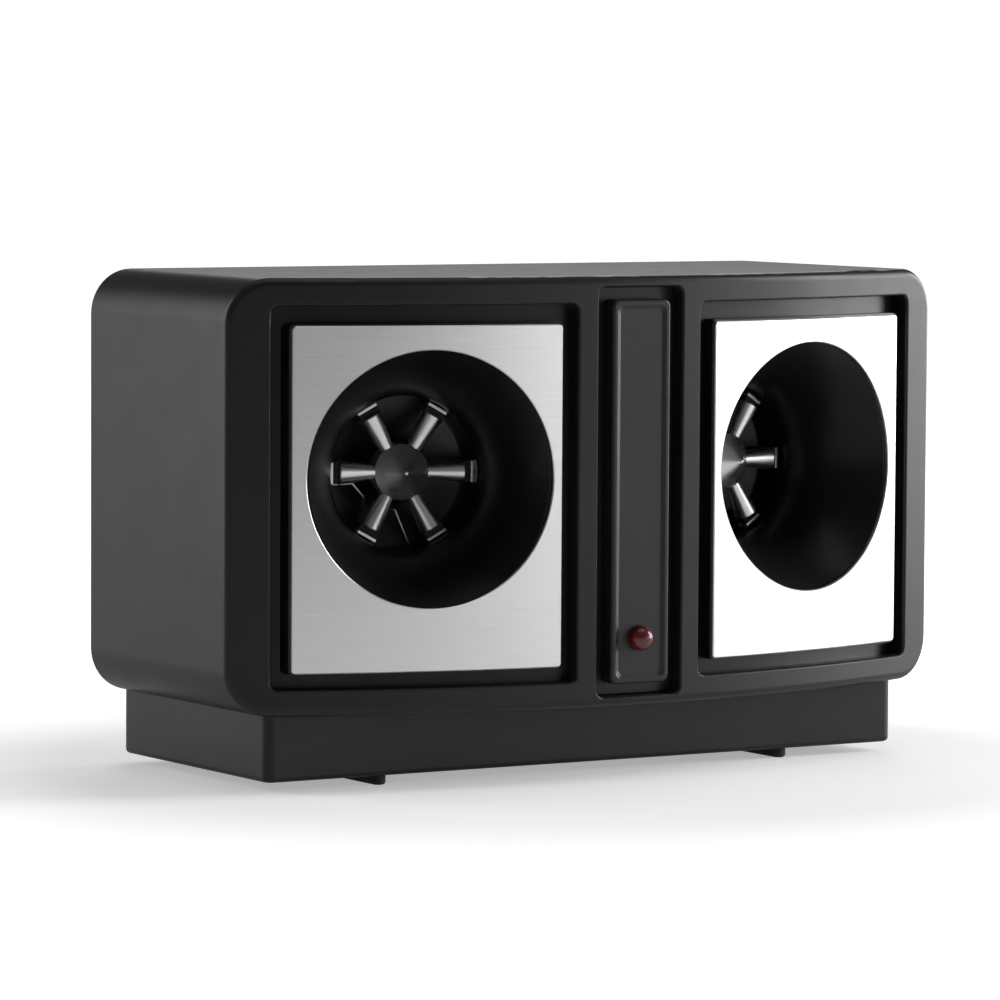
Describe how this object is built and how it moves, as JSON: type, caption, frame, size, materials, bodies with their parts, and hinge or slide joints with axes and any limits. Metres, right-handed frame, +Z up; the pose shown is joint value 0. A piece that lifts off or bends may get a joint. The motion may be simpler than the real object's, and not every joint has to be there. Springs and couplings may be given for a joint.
{
  "type": "ultrasonic pest repeller",
  "caption": "Free-standing ultrasonic pest repeller: bowed black housing on a pedestal, horn tweeters in brushed metal plates, status lamp, rear power inlet and mode switch.",
  "frame": {"origin": "on the surface it stands on, under the centre of the whole object's bounding box", "axes": "+Z up; the bowed front with the horns faces -Y; the rear cover faces +Y; +X to the right as seen from the front"},
  "size_m": [0.168, 0.0814, 0.1013],
  "materials": {
    "housing_black": "fine satin grain moulding",
    "strip_black": "satin",
    "frame_black": "satin",
    "plate_aluminium": "brushed across, bevelled bright edges",
    "horn_black": "polished",
    "plug_silver": "metallised, satin",
    "cap_black": "plain moulding",
    "diaphragm_film": "thin pressed film",
    "brass": "rolled sheet",
    "ceramic": "fired ceramic, unglazed",
    "tinned_wire": "tinned",
    "rubber_black": "matt",
    "led_red": "tinted clear resin",
    "steel_zinc": "zinc plated",
    "board_green": "solder mask",
    "chip_black": "moulded epoxy",
    "capacitor_sleeve": "shrink sleeve",
    "ferrite": "sintered ferrite",
    "copper_wire": "enamelled copper",
    "header_white": "nylon",
    "jack_black": "moulded",
    "switch_steel": "pressed sheet",
    "knob_black": "moulded",
    "wire_red": "PVC sleeve",
    "wire_black": "PVC sleeve"
  },
  "bodies": {
    "housing": {"front_shell": "housing_black", "rear_cover": "housing_black", "base": "housing_black", "foot_left": "rubber_black", "foot_right": "rubber_black", "centre_strip": "strip_black", "led": "led_red", "led_leads": "tinned_wire", "led_wires": "wire_red", "circuit_board": "board_green", "controller_chip": "chip_black", "voltage_regulator": "chip_black", "led_header": "header_white", "dc_jack": "jack_black", "dc_jack_pin": "tinned_wire", "mode_switch_can": "switch_steel", "rear_screws": "steel_zinc", "base_screws": "steel_zinc", "board_screws": "steel_zinc", "frame_screws": "steel_zinc", "horn_screws": "steel_zinc", "driver_screws": "steel_zinc", "speaker_frame_left": "frame_black", "face_plate_left": "plate_aluminium", "horn_left": "horn_black", "phase_plug_left": "plug_silver", "driver_cap_left": "cap_black", "diaphragm_left": "diaphragm_film", "piezo_plate_left": "brass", "piezo_ceramic_left": "ceramic", "driver_leads_left": "tinned_wire", "driver_terminals_left": "tinned_wire", "capacitor_left": "capacitor_sleeve", "coil_left": "ferrite", "coil_winding_left": "copper_wire", "transistor_left": "chip_black", "wire_header_left": "header_white", "speaker_wire_red_left": "wire_red", "speaker_wire_black_left": "wire_black", "speaker_frame_right": "frame_black", "face_plate_right": "plate_aluminium", "horn_right": "horn_black", "phase_plug_right": "plug_silver", "driver_cap_right": "cap_black", "diaphragm_right": "diaphragm_film", "piezo_plate_right": "brass", "piezo_ceramic_right": "ceramic", "driver_leads_right": "tinned_wire", "driver_terminals_right": "tinned_wire", "capacitor_right": "capacitor_sleeve", "coil_right": "ferrite", "coil_winding_right": "copper_wire", "transistor_right": "chip_black", "wire_header_right": "header_white", "speaker_wire_red_right": "wire_red", "speaker_wire_black_right": "wire_black"},
    "mode_knob": {"mode_switch_knob": "knob_black"}
  },
  "joints": [
    {"name": "mode_select", "type": "slide", "parent": "housing", "child": "mode_knob", "axis": [1, 0, 0], "range_m": [-0.0025, 0.0025]}
  ]
}
